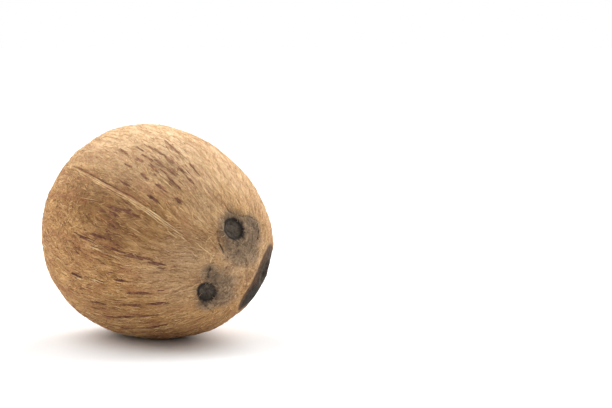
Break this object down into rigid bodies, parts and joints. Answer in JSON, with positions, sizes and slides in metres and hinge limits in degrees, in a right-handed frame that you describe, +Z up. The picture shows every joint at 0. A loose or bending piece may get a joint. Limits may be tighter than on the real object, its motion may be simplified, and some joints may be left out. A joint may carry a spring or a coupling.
{
  "type": "coconut",
  "caption": "Husked mature coconut lying on its side: an egg-shaped fibrous shell with low seams and round eye pits at its more pointed end.",
  "frame": {"origin": "middle of the small flat spot that the nut rests on, at table height", "axes": "+Z up, +X level and towards the end with the eyes, +Y level across the nut"},
  "size_m": [0.1233, 0.1092, 0.1087],
  "materials": {
    "husk_fibre": "matt"
  },
  "bodies": {
    "root": {"coconut": "husk_fibre"}
  },
  "joints": []
}
